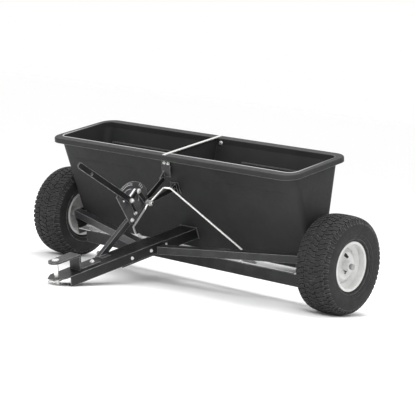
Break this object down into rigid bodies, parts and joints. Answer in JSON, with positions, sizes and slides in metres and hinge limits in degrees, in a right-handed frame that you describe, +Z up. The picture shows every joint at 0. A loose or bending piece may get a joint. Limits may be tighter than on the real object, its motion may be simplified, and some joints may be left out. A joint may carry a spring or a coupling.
{
  "type": "tow-behind drop spreader",
  "caption": "Two-wheeled tow-behind drop spreader: moulded hopper with divider, pin-hitch tongue, braces, and a lever linkage that slides the closure plate.",
  "frame": {"origin": "on the floor, midway across the tyres and midway between the tyres' rear and the hitch strap's front", "axes": "+X to the machine's left-hand side as seen from its front, -Y towards the tow vehicle, +Z up; it stands parked with its tongue's nose on the floor"},
  "size_m": [1.3502, 0.876, 0.5227],
  "materials": {
    "hopper_plastic": "matte moulded",
    "black_steel": "satin powder coat",
    "galvanised": "galvanised",
    "zinc": "zinc plated",
    "tyre_rubber": "matte",
    "rim_paint": "gloss enamel"
  },
  "bodies": {
    "spreader_frame": {"axle_bracket_left": "black_steel", "axle_bracket_right": "black_steel", "axle_bushing_left": "zinc", "axle_bushing_right": "zinc", "brace_left": "black_steel", "brace_right": "black_steel", "divider_strip": "zinc", "end_foot_left": "galvanised", "end_foot_right": "galvanised", "front_rail": "black_steel", "gauge_plate": "black_steel", "hairpin": "zinc", "hitch_pin": "zinc", "hitch_strap": "black_steel", "hopper": "hopper_plastic", "hopper_divider": "hopper_plastic", "lever_pivot_bolt": "zinc", "lever_post": "black_steel", "metering_plate": "galvanised", "rear_rail": "black_steel", "rocker_bracket": "black_steel", "tongue_front": "black_steel", "tongue_rear": "black_steel", "tongue_seat": "black_steel", "upper_bracket": "black_steel", "upper_strap": "black_steel"},
    "drive_wheel_and_axle": {"axle": "zinc", "tyre_right": "tyre_rubber", "rim_right": "rim_paint", "axle_spacer_left": "zinc", "axle_spacer_right": "zinc", "hub_washer_left": "zinc", "hub_washer_right": "zinc"},
    "free_wheel": {"tyre_left": "tyre_rubber", "rim_left": "rim_paint"},
    "lever": {"control_lever": "black_steel"},
    "link": {"control_link": "black_steel"},
    "rocker": {"rocker_arm": "black_steel"},
    "left_rod": {"rod_left": "zinc"},
    "right_rod": {"rod_right": "zinc"},
    "shutter": {"closure_plate": "galvanised"}
  },
  "joints": [
    {"name": "drive_wheel_turn", "type": "hinge", "parent": "spreader_frame", "child": "drive_wheel_and_axle", "pos_m": [0.609, 0.273, 0.165], "axis": [1, 0, 0], "continuous": true},
    {"name": "free_wheel_turn", "type": "hinge", "parent": "drive_wheel_and_axle", "child": "free_wheel", "pos_m": [-0.609, 0.273, 0.165], "axis": [1, 0, 0], "continuous": true},
    {"name": "lever_swing", "type": "hinge", "parent": "spreader_frame", "child": "lever", "pos_m": [-0.02, -0.07852, 0.27864], "axis": [1, 0, 0], "range_deg": [-14, 0]},
    {"name": "link_swing", "type": "hinge", "parent": "lever", "child": "link", "pos_m": [-0.02, -0.05153, 0.31213], "axis": [1, 0, 0], "range_deg": [0, 9.68]},
    {"name": "rocker_swing", "type": "hinge", "parent": "spreader_frame", "child": "rocker", "pos_m": [-0.02, 0.11819, 0.32527], "axis": [1, 0, 0], "range_deg": [0, 4.83]},
    {"name": "left_rod_swing", "type": "hinge", "parent": "rocker", "child": "left_rod", "pos_m": [0.0014, -0.00807, 0.27547], "axis": [-0.7508, -0.559, 0.3519], "range_deg": [0, 1.17]},
    {"name": "right_rod_swing", "type": "hinge", "parent": "rocker", "child": "right_rod", "pos_m": [0.0124, -0.00807, 0.27547], "axis": [-0.773, 0.5369, -0.338], "range_deg": [0, 1.2]},
    {"name": "shutter_slide", "type": "slide", "parent": "spreader_frame", "child": "shutter", "axis": [0, 0.9631, 0.269], "range_m": [0, 0.01326]}
  ],
  "couplings": [
    {"joint": "link_swing", "follows": "lever_swing", "ratio": -0.69163},
    {"joint": "rocker_swing", "follows": "lever_swing", "ratio": -0.34519},
    {"joint": "left_rod_swing", "follows": "lever_swing", "ratio": -0.083561},
    {"joint": "right_rod_swing", "follows": "lever_swing", "ratio": -0.0856},
    {"joint": "shutter_slide", "follows": "lever_swing", "m_per_rad": -0.054282}
  ]
}
